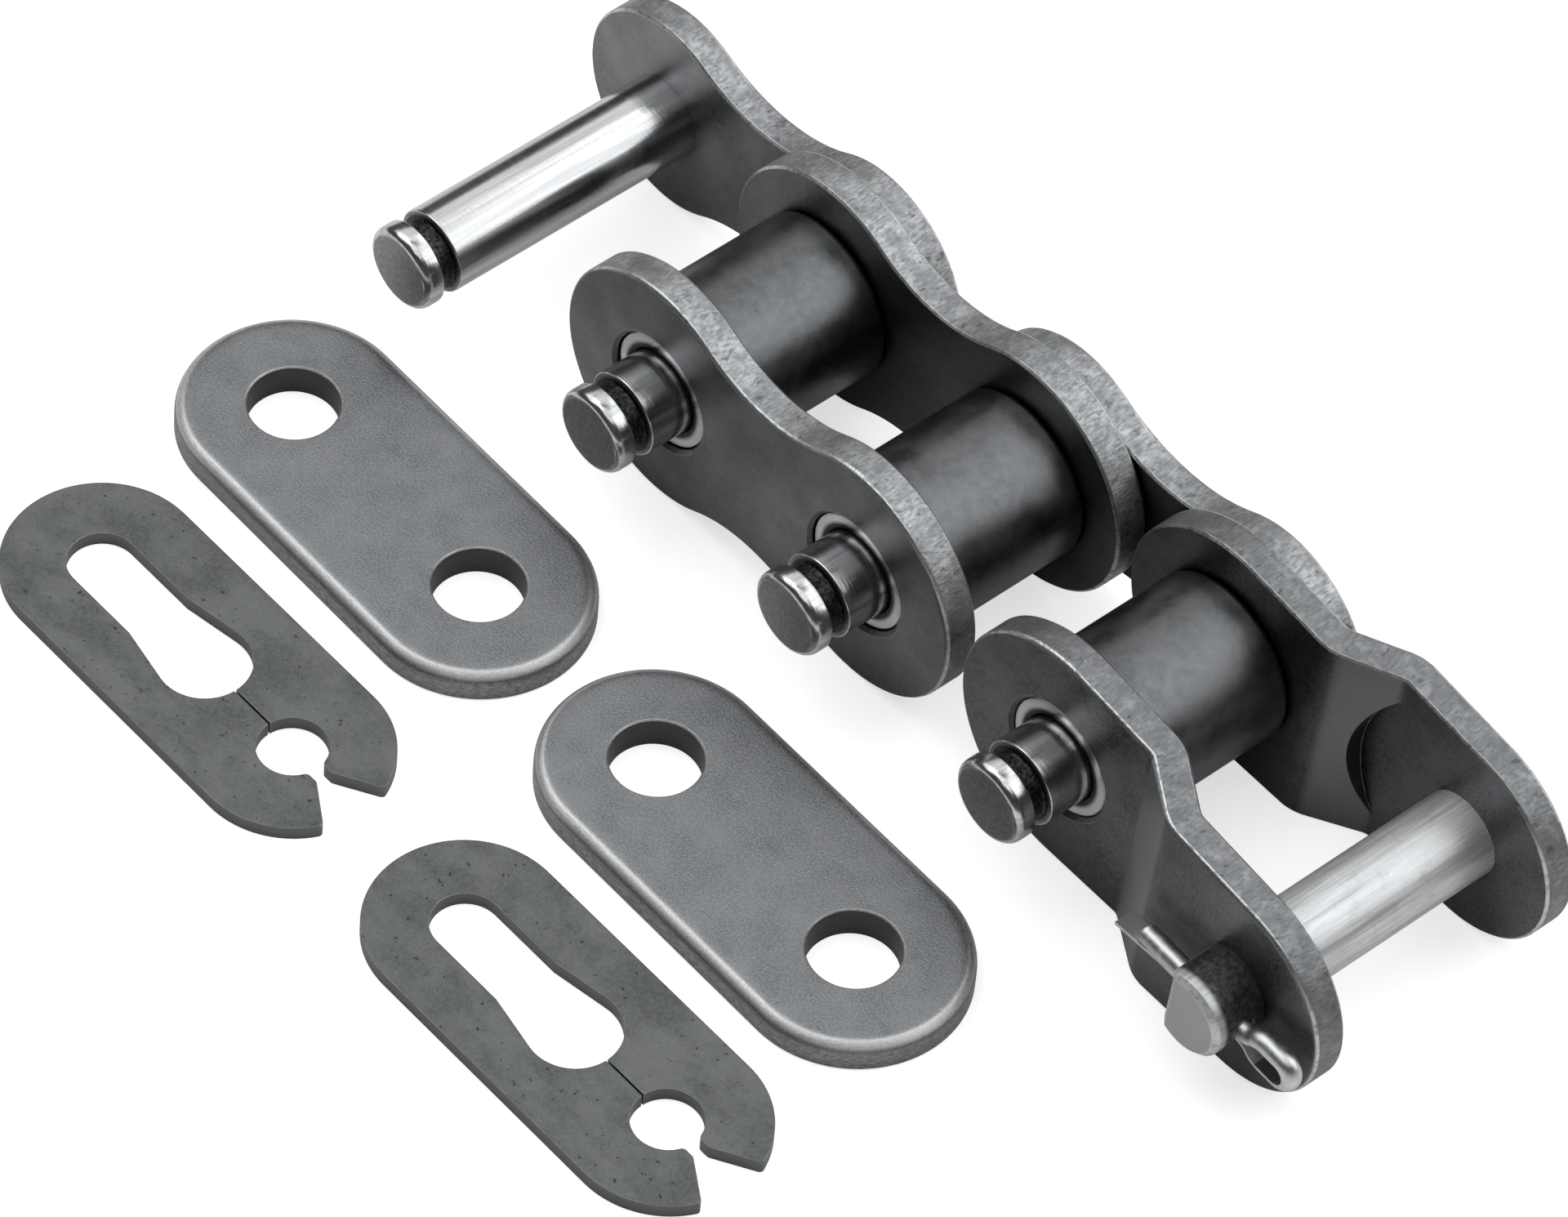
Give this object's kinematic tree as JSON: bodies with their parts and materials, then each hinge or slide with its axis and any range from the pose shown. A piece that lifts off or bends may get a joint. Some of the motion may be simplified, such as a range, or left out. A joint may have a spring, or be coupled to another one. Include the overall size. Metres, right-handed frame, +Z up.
{
  "type": "roller chain connecting link set",
  "caption": "Roller chain joining set: open connecting links, inner link and cranked offset link with a split pin, with loose cover plates and keyhole spring clips.",
  "frame": {"origin": "on the axis of the free pin, in the middle plane of the chain", "axes": "+X along the chain from the free pin to the offset end, -Y the way the grooved pin ends point, +Z up from the surface it rests on"},
  "size_m": [0.1223, 0.0791, 0.0238],
  "materials": {
    "link_plate": "hardened steel, dark oiled oxide, stamped edges a little brighter",
    "cover_plate": "hardened steel, tumbled matt grey",
    "pin": "ground bright steel",
    "offset_pin": "ground steel, satin",
    "bush": "turned steel, satin",
    "roller": "smooth dark oiled steel",
    "spring_clip": "blued spring steel, mottled",
    "split_pin": "drawn steel wire"
  },
  "bodies": {
    "inner_link": {"inner_plate_back": "link_plate", "inner_plate_front": "link_plate", "bush_1": "bush", "bush_2": "bush", "cover_plate_1": "cover_plate", "cover_plate_2": "cover_plate", "spring_clip_1": "spring_clip", "spring_clip_2": "spring_clip"},
    "connecting_link_1": {"link_1_outer_plate": "link_plate", "link_1_free_pin": "pin", "link_1_seated_pin": "pin"},
    "connecting_link_2": {"link_2_outer_plate": "link_plate", "link_2_pin_1": "pin", "link_2_pin_2": "pin"},
    "offset_link": {"offset_plate_back": "link_plate", "offset_plate_front": "link_plate", "bush_3": "bush", "offset_pin": "offset_pin", "split_pin": "split_pin"},
    "roller_1": {"roller_1": "roller"},
    "roller_2": {"roller_2": "roller"},
    "roller_3": {"roller_3": "roller"}
  },
  "joints": [
    {"name": "link_1_hinge", "type": "hinge", "parent": "inner_link", "child": "connecting_link_1", "pos_m": [0.02534, 0, 0.0017], "axis": [0, 1, 0], "range_deg": [-66, 66]},
    {"name": "link_2_hinge", "type": "hinge", "parent": "inner_link", "child": "connecting_link_2", "pos_m": [0.05074, 0, 0.0017], "axis": [0, 1, 0], "range_deg": [-66, 66]},
    {"name": "offset_hinge", "type": "hinge", "parent": "connecting_link_2", "child": "offset_link", "pos_m": [0.07614, 0, 0.0017], "axis": [0, 1, 0], "range_deg": [-66, 66]},
    {"name": "roller_1_spin", "type": "hinge", "parent": "inner_link", "child": "roller_1", "pos_m": [0.02534, 0, 0.0017], "axis": [0, 1, 0], "continuous": true},
    {"name": "roller_2_spin", "type": "hinge", "parent": "inner_link", "child": "roller_2", "pos_m": [0.05074, 0, 0.0017], "axis": [0, 1, 0], "continuous": true},
    {"name": "roller_3_spin", "type": "hinge", "parent": "offset_link", "child": "roller_3", "pos_m": [0.07614, 0, 0.0017], "axis": [0, 1, 0], "continuous": true}
  ]
}
